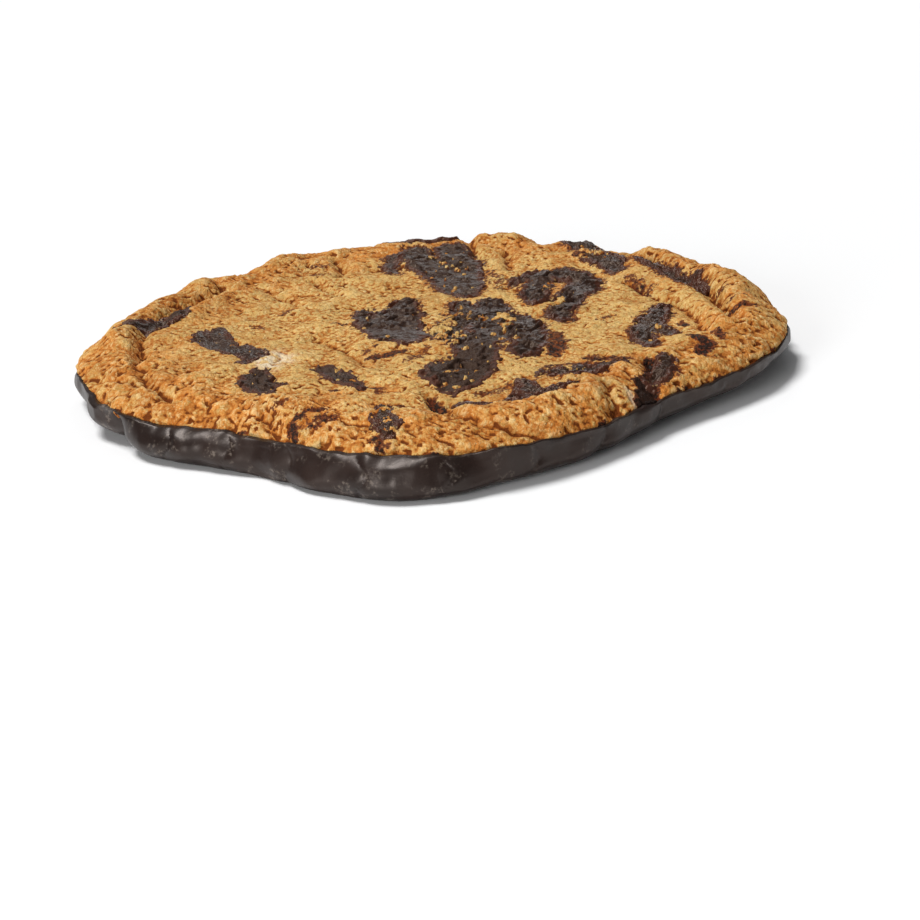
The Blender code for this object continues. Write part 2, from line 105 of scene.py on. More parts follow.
CREASES = (
    (1.0, 1.4, ((42, 22), (45.5, 12), (50.5, 4), (52.5, -6), (53.5, -18))),
    (1.6, 1.9, ((45, 45), (49.5, 34), (52, 25), (56, 16), (58, 5), (58.5, -6), (60, -14))),
    (1.3, 1.8, ((-43, 36), (-49, 29), (-54, 20), (-58, 9), (-58, 2), (-57, -6))),
    (1.0, 1.5, ((-57, -6), (-57.5, -13), (-55.5, -20), (-53, -27), (-48, -36))),
    (0.9, 1.4, ((-38, 40), (-33, 34), (-29, 27), (-26, 22))),
    (0.9, 1.3, ((-24, 40), (-21, 33), (-17.5, 27))),
    (1.0, 1.3, ((-20, 57), (-18, 49), (-18.5, 43))),
    (0.8, 1.2, ((-46, 43), (-43.5, 36))),
    (
        0.7,
        1.4,
        ((3, -50.5), (9, -52.2), (13.2, -53), (16.5, -52.3), (19.5, -50.4), (24.5, -45.6), (28, -42)),
    ),
    (1.2, 1.6, ((2, -55), (6, -61), (13, -64.5), (21, -66))),
    (1.4, 1.2, ((31, -47), (32.5, -54), (32, -60))),
    (1.0, 1.3, ((-31, -48), (-28, -56), (-24, -61))),
    (0.8, 1.3, ((-66, -17), (-60, -21), (-55, -26), (-50, -33))),
    (0.6, 1.4, ((-22, -4), (-17, -12), (-14, -19), (-13, -23))),
    (1.0, 1.2, ((-1, -46), (0, -52), (3, -57))),
    (0.9, 1.3, ((18.5, 52), (18.5, 44), (18.5, 37))),
    (1.0, 1.3, ((10, 68), (11, 58), (12, 50))),
    (1.2, 1.4, ((40.5, -34), (40, -45))),
)
# Broad lumps of the crust: (size, height, seed)
CRAGS = ((14.0, 0.35, 11), (7.0, 0.40, 12), (3.4, 0.15, 13))

# Chunks of chocolate that melted into the dough: each a list of strokes of (x, y, radius)
CHUNKS = {
    "chunk_left_rim": (
        (
            (-62.2, 8.5, 1.1), (-60, 10, 1.8), (-57.5, 11.5, 2.0),
            (-54.5, 14.5, 2.0), (-52.2, 17.5, 2.0), (-50.6, 22, 1.1),
        ),
    ),
    "chunk_left_stroke": (
        ((-46.3, 4, 1.3), (-45.5, 0, 2.0), (-42, -3.5, 2.7), (-38, -7.5, 2.9), (-34.5, -12.5, 2.5)),
        ((-42.8, 6, 1.9), (-42.5, 1, 1.9), (-40.5, -3, 2.2)),
        ((-34.5, -12.5, 2.5), (-36.3, -17, 1.3)),
    ),
    "chunk_left_foot": (
        ((-33, -22.5, 1.5), (-33, -26, 2.7), (-33, -30, 3.3), (-32.5, -34, 3.1), (-31, -37, 1.6)),
        ((-31, -33, 1.6), (-27.8, -33.3, 1.0)),
    ),
    "chunk_small_stroke": (
        ((-21.5, -23.5, 1.3), (-18.6, -27, 2.2), (-17.2, -30.5, 2.4), (-15, -34, 1.6), (-13.5, -38, 1.0)),
    ),
    "chunk_middle": (
        ((-4, 18, 1.8), (-5, 13, 3.2), (-6.5, 7, 5.2), (-7.5, 1, 6.0), (-7, -4.5, 5.0), (-5, -8.5, 3.4)),
        ((-12.5, 14, 1.2), (-13.2, 9, 1.8), (-12, 3, 2.6)),
        ((7, 13, 2.0), (7.5, 7, 3.4), (7, 1, 4.2), (3, -4, 3.8), (5, -10, 3.6), (9, -15, 3.8)),
        ((12.5, 12, 3.0), (13, 6, 4.0), (12, -1, 4.4), (13, -8, 4.6), (10, -15, 3.8)),
        ((16, 2, 3.0), (18.5, -5, 4.0), (19.6, -12, 3.4), (19.3, -18, 3.1), (17.6, -23, 2.5)),
        ((3, -4, 3.8), (-0.5, -6.5, 2.4)),
        ((9, -15, 3.8), (8, -26, 4.8), (6.5, -32, 5.2), (4.5, -38, 4.6), (3, -42, 2.6)),
        ((4, -23.5, 2.2), (1.5, -29, 2.6), (1, -34, 2.8)),
    ),
    "chunk_back_wedge": (
        (
            (-1.5, 57, 3.0), (-1, 51, 4.0), (2, 44, 4.4), (5, 36, 4.6),
            (6, 29, 4.2), (8, 24, 3.4), (8.4, 19, 2.0),
        ),
        ((6.5, 58, 3.4), (7, 51, 4.2), (8.2, 44, 4.0), (8.4, 36, 3.6), (9, 28, 3.4)),
        ((-3, 55.5, 1.6), (-7.2, 54, 1.4), (-7.4, 48, 1.4), (-7, 43, 1.0)),
    ),
    "chunk_back_rim": (((-7.5, 65.5, 1.9), (-3.5, 65.2, 1.5), (1, 65.8, 1.7), (6.5, 66.2, 1.4)),),
    "chunk_right_top": (
        ((19, 26, 1.2), (21, 29, 1.6), (25, 31.5, 3.0), (30, 31, 3.2), (33.5, 26, 3.2), (33, 20, 3.4)),
        ((24.5, 29, 3.0), (23.5, 23, 2.7), (22.4, 17, 2.7), (22.6, 12, 2.3)),
        ((33, 20, 3.4), (30, 14, 3.2), (27.6, 7, 2.8), (26.6, 1, 2.5), (27, -2, 1.6)),
    ),
    "chunk_back_right": (
        (
            (33, 55.5, 1.6), (33.5, 52, 2.3), (36, 47.5, 2.8),
            (37.2, 41, 2.5), (40, 35.5, 2.9), (40.7, 31.5, 2.0),
        ),
    ),
    "chunk_fold_right": (
        (
            (46.6, 36.5, 1.1), (48.8, 31.5, 1.7), (51, 25.5, 2.0),
            (53, 20, 2.1), (55, 15, 1.9), (56, 12, 1.1),
        ),
        ((54.6, 16, 1.1), (56.4, 18.6, 1.0)),
    ),
    "chunk_right_leaf": (
        (
            (47, 0, 1.1), (45.6, -4, 2.3), (43.6, -9, 3.0),
            (42, -14.5, 2.5), (41, -20, 2.2), (41.8, -24, 1.2),
        ),
        ((42.6, -13, 2.0), (45.8, -17.5, 1.6)),
    ),
    "chunk_front_streak": (
        ((20.6, -36.6, 1.3), (25, -37.4, 1.8), (30, -37, 1.8), (34.5, -35.8, 1.4)),
    ),
    "chunk_groove": (
        (
            (4.8, -51, 0.9), (9, -52.4, 1.2), (13.2, -53, 1.2),
            (16.5, -52.3, 1.3), (19.5, -50.4, 1.3), (24, -45.9, 1.1),
        ),
        ((18.5, -50, 1.4), (17.2, -46, 1.8), (16.6, -43, 1.2)),
    ),
    "chunk_front_right": (
        ((39.5, -42.2, 1.2), (41.4, -40.4, 1.7), (43, -37.6, 1.8), (43.6, -34.5, 1.2)),
    ),
    "chunk_front_spot": (((-9, -51.5, 1.1), (-9.3, -56, 1.9), (-8.3, -60.5, 2.0), (-8.6, -64.5, 1.1)),),
}
# How ragged a chunk's shore is: (size, reach, seed)
CHUNK_RAGGED = ((3.2, 0.55, 31), (1.7, 0.45, 32), (0.9, 0.35, 33))
HOLLOW_DEPTH = 1.1
# Where crumbs of dough stand up through the chocolate: (share, reach, points)
CRUMBED = (
    (0.95, 3.6, ((3, 4), (2, -8), (4, -16), (1, -24))),
    (0.42, 7.0, ((6, 9), (14, 3))),
    (0.60, 3.0, ((15, 0), (16.5, -14))),
    (0.95, 2.4, ((27.5, 23), (26.5, 15), (26, 9))),
    (0.30, 8.0, ((3, 48), (7, 26))),
    (0.62, 5.0, ((-9, -53), (-8.5, -64))),
    (0.38, 6.0, ((5, -30), (5, -38))),
    (0.45, 3.0, ((45, -16), (44, -20))),
    (0.45, 3.5, ((22, -37), (33, -36))),
    (0.85, 2.2, ((-11, 12.5), (-10.5, 10.5))),
    (0.60, 2.4, ((36.6, 43.5), (38, 41))),
    (0.45, 4.0, ((-17, -30), (-14, -37))),
    (0.40, 4.0, ((35, 53), (37, 42))),
)

# Where cocoa has stained the dough: (strength, width of the feathered edge, points of x, y, radius)
STAINS = (
    (0.80, 1.2, ((24, -14, 1.8), (24.5, -19, 2.0), (23.5, -24, 1.4))),
    (0.62, 1.2, ((43, 23.5, 1.0), (44.5, 18, 0.9), (45, 13, 1.0), (47, 17, 0.6))),
    (0.70, 1.0, ((44.5, -17, 1.2), (47.5, -19, 1.0))),
    (0.85, 0.8, ((49.5, -11.5, 0.9), (49.6, -13, 0.9))),
    (0.90, 1.0, ((50.5, -21.5, 1.2), (52.2, -26, 1.4), (51, -31, 1.3))),
    (0.80, 0.9, ((55, -21.5, 1.0), (55.4, -23.5, 1.1))),
    (0.75, 1.2, ((29.5, -30.5, 1.0), (32.5, -31.5, 1.5), (36, -32.5, 1.3))),
    (0.70, 1.4, ((21, -34, 0.8), (26, -33.5, 0.9), (31, -34, 0.9))),
    (0.95, 0.9, ((40.5, -33.5, 0.8), (40.2, -38, 1.2), (40, -44, 1.0))),
    (1.35, 0.8, ((37.5, -43.5, 0.9), (38.8, -45.5, 1.7), (38.6, -50, 2.1), (39.5, -55, 1.9))),
    (0.70, 1.6, ((-21.5, -56, 1.4), (-19, -54.5, 1.6))),
    (0.85, 0.7, ((-25, -58, 0.7), (-25.2, -54, 0.9), (-23, -51, 0.9), (-20, -49.8, 0.8))),
    (0.80, 0.8, ((-4, -52, 0.5), (-6.8, -50.6, 0.7), (-9, -51.5, 0.7))),
    (0.80, 0.8, ((-10.5, -65, 0.9), (-9.5, -67, 0.9))),
    (
        0.97,
        0.6,
        ((4.8, -51.2, 1.0), (9, -52.2, 1.6), (13.2, -52.9, 1.8), (16.5, -52.1, 1.7), (19.5, -50.2, 1.4)),
    ),
    (0.97, 0.7, ((19.5, -51, 1.3), (24, -46.6, 1.2), (28, -43, 0.7), (31, -42, 0.4))),
    (0.55, 1.4, ((-28, -47, 1.0), (-27, -46.5, 1.0))),
    (0.60, 1.2, ((-24, 52, 1.0), (-22.5, 51, 0.9))),
    (0.55, 1.2, ((-24.5, 45, 0.9), (-22, 44, 0.8))),
    (0.85, 0.8, ((-12, -18.5, 0.9), (-9, -17.4, 1.3), (-5, -15.4, 0.9))),
    (0.65, 0.9, ((-12.8, -15.5, 0.5), (-10.8, -11.5, 0.5))),
    (0.65, 1.1, ((-4, -23, 1.0), (-2.5, -19, 0.9), (-1, -15, 0.8))),
    (0.60, 1.0, ((59, 5.5, 0.7), (61.5, 4.5, 0.6))),
    (0.70, 0.6, ((60.4, -8, 1.2), (64, -8.4, 1.0))),
    (0.60, 0.7, ((60, -3.6, 0.3), (64.4, -3.4, 0.3))),
    (0.80, 0.7, ((-18.5, -37.6, 0.6), (-17.5, -38.2, 0.6))),
    (0.85, 0.9, ((-13.4, -36.5, 0.7), (-13.2, -39.5, 0.8))),
    (0.70, 1.0, ((-10.5, -38, 0.8), (-9.6, -41.5, 1.0))),
    (0.85, 0.8, ((-0.5, -46, 0.6), (0, -50, 1.1), (1.2, -54, 1.0), (3.2, -57.5, 0.5))),
    (0.60, 1.0, ((18, -41, 0.8), (15, -41.5, 0.7), (12, -45, 1.0), (8, -46, 0.8))),
    (0.55, 1.6, ((13.5, 38, 0.8), (15.5, 30, 0.9), (16, 22, 0.8))),
    (0.60, 1.2, ((-36, 9, 0.5), (-33, 5, 0.5))),
    (0.55, 1.2, ((-30, 17, 0.9), (-29, 19, 0.8))),
    (0.60, 0.9, ((36.5, -3, 0.5), (33.4, -4.6, 0.6))),
    (0.70, 0.8, ((-19, 5, 0.4), (-17, 3.4, 0.4))),
    (1.35, 0.7, ((-7.2, 63.2, 1.0), (-5.4, 63.8, 1.8), (-3.2, 64, 1.3))),
)
# Baked darker or lighter than the dough around it: (amount, reach, points)
BROWNER = (
    (0.30, 14.0, ((-56, -26), (-42, -42))),
    (0.28, 11.0, ((4, -58), (28, -50))),
    (0.18, 9.0, ((10, 63), (26, 58))),
    (0.30, 7.0, ((-40, 46), (-22, 52), (-8, 60))),
    (0.20, 9.0, ((-30, -50), (-16, -58))),
    (0.20, 7.0, ((52, -34), (60, -16))),
    (-0.20, 8.0, ((-34, -16), (-25, -28))),
    (-0.16, 10.0, ((-20, -10), (-12, 28))),
    (-0.24, 15.0, ((18, -22), (34, -8), (36, 8))),
    (0.26, 8.0, ((-50, -4), (-44, -16), (-40, -30))),
    (0.18, 8.0, ((-44, 22), (-32, 34))),
    (-0.16, 8.0, ((-26, 8), (-20, 24))),
    (0.20, 6.0, ((-22, -40), (-8, -38))),
)
# Pale dry flakes of dough: (strength, reach, points)
PALE = (
    (1.0, 2.2, ((-33, -15), (-31, -20))),
    (0.8, 2.0, ((-30, -13), (-28, -16))),
    (0.6, 0.5, ((34.6, -47.5), (37, -54))),
)
# Crumblier than the dough around it: (amount, reach, points)
ROUGHER = (
    (0.5, 13.0, ((-56, -28), (-40, -42))),
    (0.4, 10.0, ((5, -58), (28, -49))),
    (0.35, 9.0, ((-26, -52), (-6, -60))),
)

# How far the crust bulges over the lip of the dip, and where its hidden underside lies
OVERHANG = 0.30
OVERHANG_LOBES = ((177, 15, 0.9), (4, 18, 0.9))
TUCKED_RINGS = ((0.5, 0.1), (1.1, 0.6), (1.6, 3.5))
UNDERSIDE_HEIGHT = 2.3
# How far to each side a point is compared with the crust, and the depth that counts as a full crevice
CAVITY_REACH = 0.75
CAVITY_DEPTH = 0.30
PLATEAU_RINGS = 148
SHOULDER_RINGS = 30
SECTORS = 6 * PLATEAU_RINGS
BLOND = (0.685, 0.435, 0.142)
ORANGE = (0.66, 0.265, 0.052)
OLIVE = (0.455, 0.300, 0.090)
OCHRE = (0.50, 0.235, 0.050)
# SUGAR_AND_HIGHLIGHT is the pale of sugar grains, and is also painted onto the crumbs' tops as a painted
# highlight
SUGAR_AND_HIGHLIGHT = (0.86, 0.640, 0.310)
# TOFFEE_AND_CREVICE_SHADE is browned dough, and is also painted into the crevices as painted shade;
# PAINTED_CREVICE_SHADE is painted shade at the bottom of the deepest crevices
TOFFEE_AND_CREVICE_SHADE = (0.44, 0.135, 0.018)
PAINTED_CREVICE_SHADE = (0.15, 0.034, 0.004)
BROAD_SHADE = (0.66, 0.57, 0.42)
DRY_FLAKE = (0.78, 0.64, 0.44)
COCOA_RED = (0.120, 0.026, 0.009)
COCOA_BLACK = (0.022, 0.009, 0.005)


def scatter(i, j, seed):
    """A repeatable number from 0 to 1 for each whole-number lattice point."""
    n = i * 374761393 + j * 668265263 + seed * 974634777
    n = (n ^ (n >> 13)) * 1274126177
    return ((n ^ (n >> 16)) & 0xFFFF) / 65536.0


def noise(x, y, cell, seed):
    """Smooth gradient noise from about -1 to 1, with bumps about one cell across."""
    u, v = x / cell, y / cell
    i, j = np.floor(u).astype(np.int64), np.floor(v).astype(np.int64)
    total = np.zeros_like(u)
    for di in (0, 1):
        for dj in (0, 1):
            turn = 2 * math.pi * scatter(i + di, j + dj, seed)
            du, dv = u - i - di, v - j - dj
            near = (1 - np.abs(du)) * (1 - np.abs(dv))
            weight = near * near * (3 - 2 * near)
            total += weight * (np.cos(turn) * du + np.sin(turn) * dv)
    return 2.0 * total


def step(value, low, high):
    """0 below low, 1 above high, and a smooth rise between them."""
    t = np.clip((value - low) / (high - low), 0, 1)
    return t * t * (3 - 2 * t)


def around(direction, rest, lobes):
    """A size that is rest all round the edge, plus a smooth lobe at each listed direction."""
    size = np.full_like(direction, rest)
    for centre, half_width, amount in lobes:
        away = (direction - centre + 180) % 360 - 180
        size += amount * np.exp(-((away / half_width) ** 2))
    return size


def from_line(x, y, points):
    """Distance from a line through the given points."""
    nearest = np.full_like(x, 1e9)
    for (ax, ay), (bx, by) in zip(points, points[1:]):
        along = ((x - ax) * (bx - ax) + (y - ay) * (by - ay)) / ((bx - ax) ** 2 + (by - ay) ** 2)
        along = np.clip(along, 0, 1)
        gap = np.hypot(x - ax - along * (bx - ax), y - ay - along * (by - ay))
        nearest = np.minimum(nearest, gap)
    return nearest


def within(x, y, strokes):
    """How far inside a chain of discs a point lies: above 0 inside it, below 0 outside."""
    inside = np.full_like(x, -1e9)
    for stroke in strokes:
        for (ax, ay, ar), (bx, by, br) in zip(stroke, stroke[1:]):
            along = ((x - ax) * (bx - ax) + (y - ay) * (by - ay)) / ((bx - ax) ** 2 + (by - ay) ** 2)
            along = np.clip(along, 0, 1)
            gap = np.hypot(x - ax - along * (bx - ax), y - ay - along * (by - ay))
            inside = np.maximum(inside, ar + along * (br - ar) - gap)
    return inside


def spread(x, y, patches):
    """Soft patches, added up: (amount, reach, points of a line)."""
    total = np.zeros_like(x)
    for amount, reach, points in patches:
        total += amount * np.exp(-((from_line(x, y, points) / reach) ** 2))
    return total


def edge_radius(direction):
    return around(direction, EDGE_RADIUS, OUTLINE_LOBES)


def lip_height(direction):
    turn = np.radians(direction)
    wave = LIP_WAVE * noise(10 * np.cos(turn) + 40, 10 * np.sin(turn) + 40, 1.6, 5)
    return around(direction, LIP_HEIGHT, LIP_LOBES) + wave


def belly_radius(direction):
    turn = np.radians(direction)
    bulge = 0.45 * noise(22 * np.cos(turn) + 90, 22 * np.sin(turn) + 90, 4.0, 7)
    radius = edge_radius(direction) + around(direction, BELLY_SWELL, SWELL_LOBES) + bulge
    for centre, half_width, depth in DIP_CREASES:
        radius = around(direction, 0, ((centre, half_width, -depth),)) + radius
    return radius


def outline_middle():
    direction = np.arange(120) * 3.0
    radius = belly_radius(direction)
    x, y = radius * np.cos(np.radians(direction)), radius * np.sin(np.radians(direction))
    return (x.min() + x.max()) / 2, (y.min() + y.max()) / 2


MIDDLE_X, MIDDLE_Y = outline_middle()


def outwardness(x, y):
    """0 on the plateau, rising to 1 where the shoulder meets the lip."""
    direction = np.degrees(np.arctan2(y, x)) % 360
    return np.clip((np.hypot(x, y) - edge_radius(direction)) / SHOULDER_WIDTH + 1, 0, 1)


def crust_height(x, y):
    """Height of the baked crust with its folds, before its crumb."""
    direction = np.degrees(np.arctan2(y, x)) % 360
    radius, edge, lip = np.hypot(x, y), edge_radius(direction), lip_height(direction)
    top = PLATEAU_HEIGHT + RIM_RISE * np.exp(-(((edge - radius - RIM_RISE_INSET) / RIM_RISE_WIDTH) ** 2))
    for height, half_width, points in RIDGES:
        top += height * np.exp(-((from_line(x, y, points) / half_width) ** 2))
    for depth, half_width, points in CREASES:
        top -= depth * np.exp(-((from_line(x, y, points) / half_width) ** 2))
    for cell, height, seed in CRAGS:
        top += height * noise(x, y, cell, seed)
    outward = np.clip((radius - edge + SHOULDER_WIDTH) / SHOULDER_WIDTH, 0, 1)
    return lip + (top - lip) * np.sqrt(1 - outward**2)


def pool_depth(x, y):
    """How far inside the nearest pool's ragged shore a point lies."""
    inside = np.full_like(x, -1e9)
    for strokes in CHUNKS.values():
        inside = np.maximum(inside, within(x, y, strokes))
    for cell, amount, seed in CHUNK_RAGGED:
        inside += amount * noise(x, y, cell, seed)
    return inside


def roughness_of_crust(x, y):
    """Near 0.2 on the smooth plateau, up to 1 in the crumbly parts near the rim."""
    direction = np.degrees(np.arctan2(y, x)) % 360
    inset = edge_radius(direction) - np.hypot(x, y)
    rough = 0.22 + 0.50 * step(-inset, -20, -6) + spread(x, y, ROUGHER) + 0.22 * noise(x, y, 11, 41)
    return np.clip(rough, 0.12, 1)


def lumps(x, y, cell, seed):
    """Rounded lumps with narrow crevices between them, from near 0 in a crevice to about 1."""
    turned = noise(0.8 * x - 0.6 * y, 0.6 * x + 0.8 * y, 1.27 * cell, seed + 7)
    broken = 0.015 + 0.13 * step(noise(x, y, 0.9 * cell, seed + 14), -0.2, 0.5)
    return 0.8 * np.sqrt((noise(x, y, cell, seed) + turned) ** 2 + broken)


def crumb_relief(x, y):
    """The crumb itself: lumps, grains, pits and cracks, in millimetres up or down."""
    rough = roughness_of_crust(x, y)
    u, v = x + 0.7 * noise(x, y, 2.7, 48), y + 0.7 * noise(x, y, 2.7, 49)
    relief = rough * (0.90 * (lumps(u, v, 5.2, 51) - 0.48) + 0.34 * (lumps(u, v, 2.2, 52) - 0.40))
    relief += (0.15 + 0.85 * rough) * (lumps(x, y, 9.5, 42) - 0.50)
    patchy = step(noise(x, y, 4.3, 47) + 0.7 * noise(x, y, 2.0, 46), -0.5, 0.6)
    relief += (0.06 + 0.42 * rough) * (0.15 + 1.1 * patchy) * (lumps(u, v, 1.1, 53) - 0.36)
    relief += 0.07 * noise(x, y, 0.9, 55) + 0.13 * noise(x, y, 3.1, 56)
    relief += (0.20 + 0.30 * rough) * (noise(x, y, 7.5, 43) + 0.5 * noise(u, v, 4.6, 44)) - 0.06
    pits = step(noise(x, y, 1.5, 57) + 0.4 * noise(x, y, 0.8, 45), 0.30, 0.56)
    pits *= step(noise(x, y, 7.0, 58), -0.35, 0.4)
    cracks = np.exp(-((noise(u, v, 6.0, 59) / 0.06) ** 2)) * step(noise(x, y, 4.0, 60), 0.05, 0.45)
    return relief - (0.40 + 0.25 * rough) * pits - 0.55 * cracks


def crack_depth(x, y):
    """Narrow ragged cracks along the bottom of the creases."""
    u = x + 0.9 * noise(x, y, 3.1, 68) + 0.3 * noise(x, y, 1.0, 69)
    v = y + 0.9 * noise(x, y, 3.1, 70)
    deepest = np.zeros_like(x)
    for depth, half_width, points in CREASES:
        deepest = np.maximum(deepest, depth * np.exp(-from_line(u, v, points) / 0.7))
    return deepest * (0.95 + 0.5 * noise(x, y, 4.0, 76))


def standing_crumbs(x, y):
    """1 where a crumb of dough stands up through a pool of chocolate, 0 elsewhere."""
    share = np.clip(spread(x, y, CRUMBED), 0, 0.95)
    crumb = 0.9 * noise(x, y, 2.4, 91) + 0.65 * noise(x, y, 1.1, 92)
    return step(crumb + share, 0.80, 0.95)


def fine_relief(x, y):
    return crumb_relief(x, y) - crack_depth(x, y)


# Besides shaping nothing, this is read to paint shade into the crevices and a highlight onto the crumbs'
# tops
def cavity(x, y):
    """How far a point lies below the crust round it: above 0 in crevices, below 0 on the crumbs' tops."""
    steps = ((CAVITY_REACH, 0), (-CAVITY_REACH, 0), (0, CAVITY_REACH), (0, -CAVITY_REACH))
    beside = [fine_relief(x + dx, y + dy) for dx, dy in steps]
    return sum(beside) / 4 - fine_relief(x, y)


def stain_strength(x, y):
    """How strongly cocoa has stained the dough, from the chunks' shores and the listed stains."""
    shore, crumbs = pool_depth(x, y), standing_crumbs(x, y)
    ragged = 0.5 * noise(x, y, 1.3, 94) + 0.4 * noise(x, y, 0.8, 95)
    halo = 0.64 * step(shore + ragged, -2.2, -0.6) * step(noise(x, y, 6.0, 61) + 0.01 * (x + y), -0.4, 0.15)
    stain = np.maximum(halo, 0.97 * step(shore, -0.3, 0.15) * (1 - crumbs))
    stain = np.where(crumbs > 0.5, np.minimum(stain, 0.34 + 0.3 * ragged), stain)
    wander = 0.8 * noise(x, y, 2.1, 62) + 0.5 * noise(x, y, 1.1, 63)
    for strength, feather, stroke in STAINS:
        inside = within(x, y, (stroke,)) + wander
        stain = np.maximum(stain, strength * step(inside, -feather, 0.35))
    splashed = step(noise(x, y, 3.4, 77) + 0.4 * noise(x, y, 1.2, 78), 0.42, 0.55)
    splashed *= step(outwardness(x, y), 0.95, 0.99)
    return np.maximum(stain, 0.9 * splashed)


def ring_triangles(k, inner, outer):
    """Triangles between ring k - 1, which starts at point inner, and ring k, which starts at outer."""
    sector, i = np.divmod(np.arange(6 * k), k)
    near = inner + (sector * (k - 1) + i) % max(6 * (k - 1), 1)
    far, far_next = outer + sector * k + i, outer + (sector * k + i + 1) % (6 * k)
    wedges = np.column_stack([near, far, far_next])
    short = i < k - 1
    near_next = inner + (sector * (k - 1) + i + 1) % max(6 * (k - 1), 1)
    return np.vstack([wedges, np.column_stack([near, far_next, near_next])[short]])


def band_triangles(upper, lower, count):
    """Triangles between two rings of the same count, with the lower ring outside or below."""
    j = np.arange(count)
    k = (j + 1) % count
    first = np.column_stack([upper + j, lower + j, lower + k])
    return np.vstack([first, np.column_stack([upper + j, lower + k, upper + k])])


def ring_at(direction, radius, height):
    turn = np.radians(direction)
    return np.column_stack([radius * np.cos(turn), radius * np.sin(turn), height])


def add_piece(name, points, triangles, material, cad_nodes):
    """A mesh from points in millimetres, dressed, put under the root body, with the CAD nodes that it
    stands for hidden.
    """
    placed = (np.asarray(points) - (MIDDLE_X, MIDDLE_Y, 0)) * MM
    mesh = bpy.data.meshes.new(name)
    mesh.from_pydata(placed.tolist(), [], np.asarray(triangles).tolist())
    mesh.shade_smooth()
    mesh.materials.append(material)
    piece = bpy.data.objects.new(name, mesh)
    bpy.context.scene.collection.objects.link(piece)
    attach(piece, "root")
    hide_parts(*cad_nodes)
    return piece


def paint(piece, name, values):
    """Stores one number for each point of the mesh, for its material to read."""
    layer = piece.data.attributes.new(name, "FLOAT", "POINT")
    layer.data.foreach_set("value", np.asarray(values, np.float32))


class Mixing:
    """A material's node tree, with short names for the nodes that a finish is mixed from."""

    def __init__(self, name):
        self.material = bpy.data.materials.new(name)
        self.material.use_nodes = True
        self.tree = self.material.node_tree
        self.shader = self.tree.nodes["Principled BSDF"]
        self.place = self.tree.nodes.new("ShaderNodeTexCoord").outputs["Object"]

    def draw_out(self, along_y):
        """Makes everything mixed after this call longer along Y, as grains lie in a crust that spread."""
        node = self.tree.nodes.new("ShaderNodeMapping")
        node.inputs["Scale"].default_value = (1.0, 1 / along_y, 1.0)
        self.wire(self.place, node.inputs["Vector"])
        self.place = node.outputs["Vector"]

    def wire(self, source, socket):
        if isinstance(source, (int, float)):
            socket.default_value = source
        elif isinstance(source, tuple):
            socket.default_value = (*source, 1.0)
        else:
            self.tree.links.new(source, socket)

    def painted(self, name):
        node = self.tree.nodes.new("ShaderNodeAttribute")
        node.attribute_name = name
        return node.outputs["Fac"]

    def speckle(self, size_mm, detail=2.0, roughness=0.5):
        """Cloudy noise from 0 to 1 with spots about this size."""
        node = self.tree.nodes.new("ShaderNodeTexNoise")
        self.wire(self.place, node.inputs["Vector"])
        node.inputs["Scale"].default_value = 1 / (size_mm * MM)
        node.inputs["Detail"].default_value = detail
        node.inputs["Roughness"].default_value = roughness
        return node.outputs["Fac"]

    def cells(self, size_mm):
        """Distance from the nearest of many scattered points, and each point's own random colour."""
        node = self.tree.nodes.new("ShaderNodeTexVoronoi")
        self.wire(self.place, node.inputs["Vector"])
        node.inputs["Scale"].default_value = 1 / (size_mm * MM)
        return node.outputs["Distance"], node.outputs["Color"]

    def maths(self, operation, *values):
        node = self.tree.nodes.new("ShaderNodeMath")
        node.operation = operation
        for value, socket in zip(values, node.inputs):
            self.wire(value, socket)
        return node.outputs["Value"]

    def rise(self, value, low, high, bottom=0.0, top=1.0):
        """A smooth step from bottom to top as the value goes from low to high."""
        node = self.tree.nodes.new("ShaderNodeMapRange")
        node.interpolation_type = "SMOOTHSTEP"
        names = ("Value", "From Min", "From Max", "To Min", "To Max")
        for source, name in zip((value, low, high, bottom, top), names):
            self.wire(source, node.inputs[name])
        return node.outputs["Result"]

    def blend(self, share, first, second, kind="MIX"):
        node = self.tree.nodes.new("ShaderNodeMix")
        node.data_type = "RGBA"
        node.blend_type = kind
        self.wire(share, node.inputs["Factor"])
        self.wire(first, node.inputs[6])
        self.wire(second, node.inputs[7])
        return node.outputs[2]

    def bump(self, height, distance_mm, strength=1.0, under=None):
        node = self.tree.nodes.new("ShaderNodeBump")
        node.inputs["Strength"].default_value = strength
        node.inputs["Distance"].default_value = distance_mm * MM
        self.wire(height, node.inputs["Height"])
        if under is not None:
            self.wire(under, node.inputs["Normal"])
        return node.outputs["Normal"]

    def finish(self, colour, roughness, normal):
        self.wire(colour, self.shader.inputs["Base Color"])
        self.wire(roughness, self.shader.inputs["Roughness"])
        self.wire(normal, self.shader.inputs["Normal"])
        return self.material


